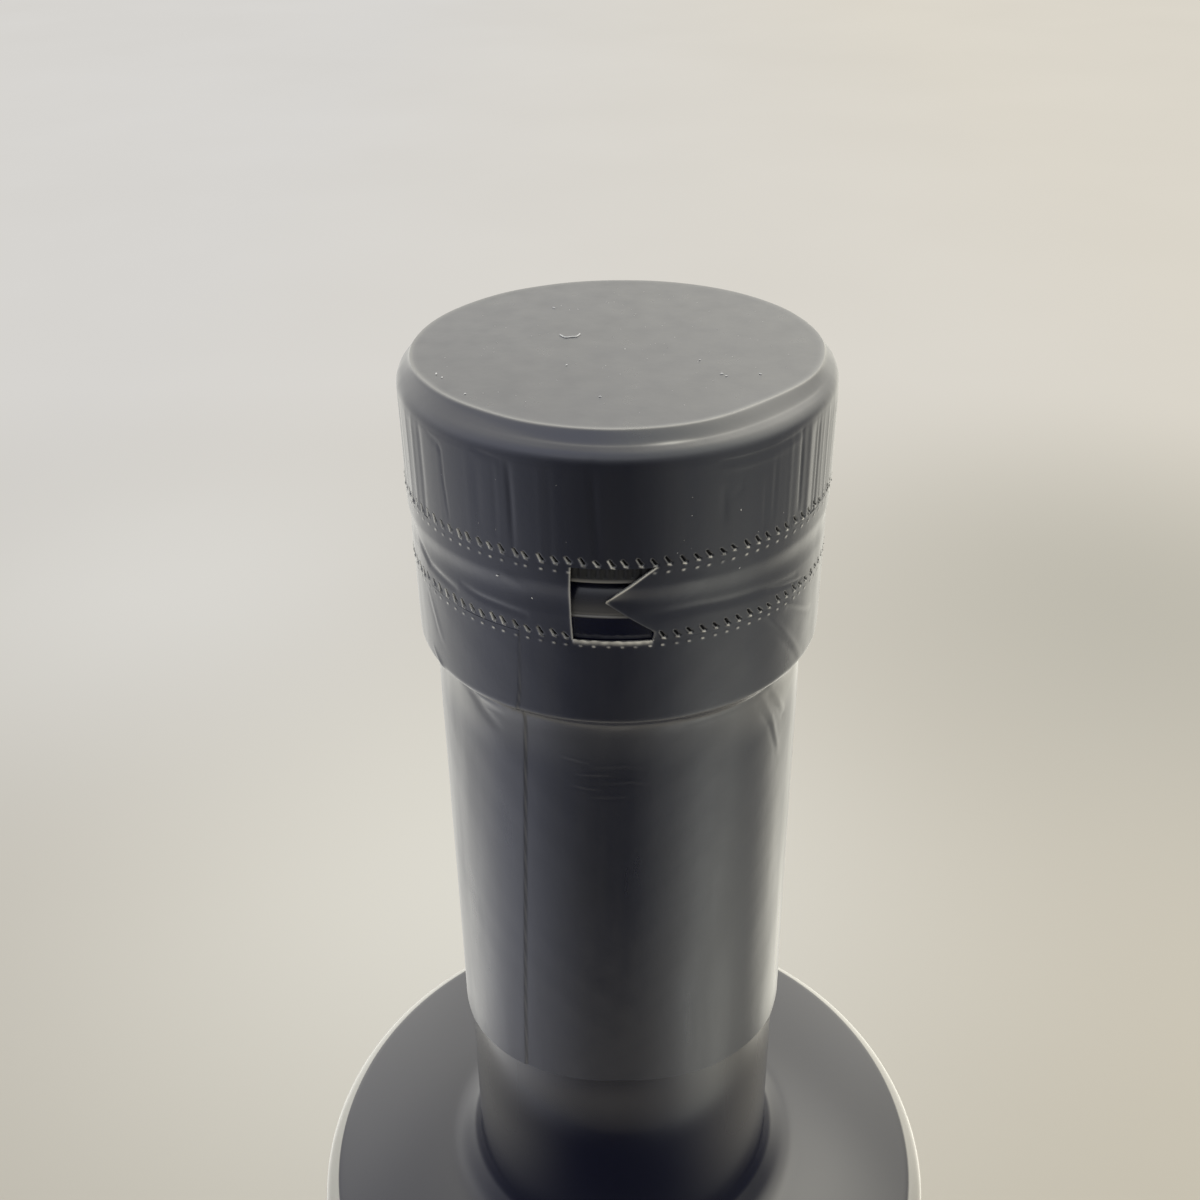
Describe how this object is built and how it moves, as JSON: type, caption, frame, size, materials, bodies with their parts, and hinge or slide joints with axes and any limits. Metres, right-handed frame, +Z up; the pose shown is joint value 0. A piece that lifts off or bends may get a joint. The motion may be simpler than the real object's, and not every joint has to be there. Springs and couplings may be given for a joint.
{
  "type": "whisky bottle",
  "caption": "Tall round black whisky bottle, sealed, with a dark shrink capsule over a knurled stopper and a tear band cut open at its start.",
  "frame": {"origin": "centre of the foot, on the surface that the bottle stands on", "axes": "+Z up along the bottle's axis; the cut window of the tear band faces -Y"},
  "size_m": [0.069, 0.069, 0.3202],
  "materials": {
    "black_glass": "smooth, dark navy-black, opaque",
    "capsule_film": "satin black shrink film with fine wrinkles",
    "stopper_plastic": "moulded, knurled"
  },
  "bodies": {
    "root": {"bottle": "black_glass", "stopper_head": "stopper_plastic", "capsule_cap": "capsule_film", "tear_band": "capsule_film", "capsule_sleeve": "capsule_film"}
  },
  "joints": []
}
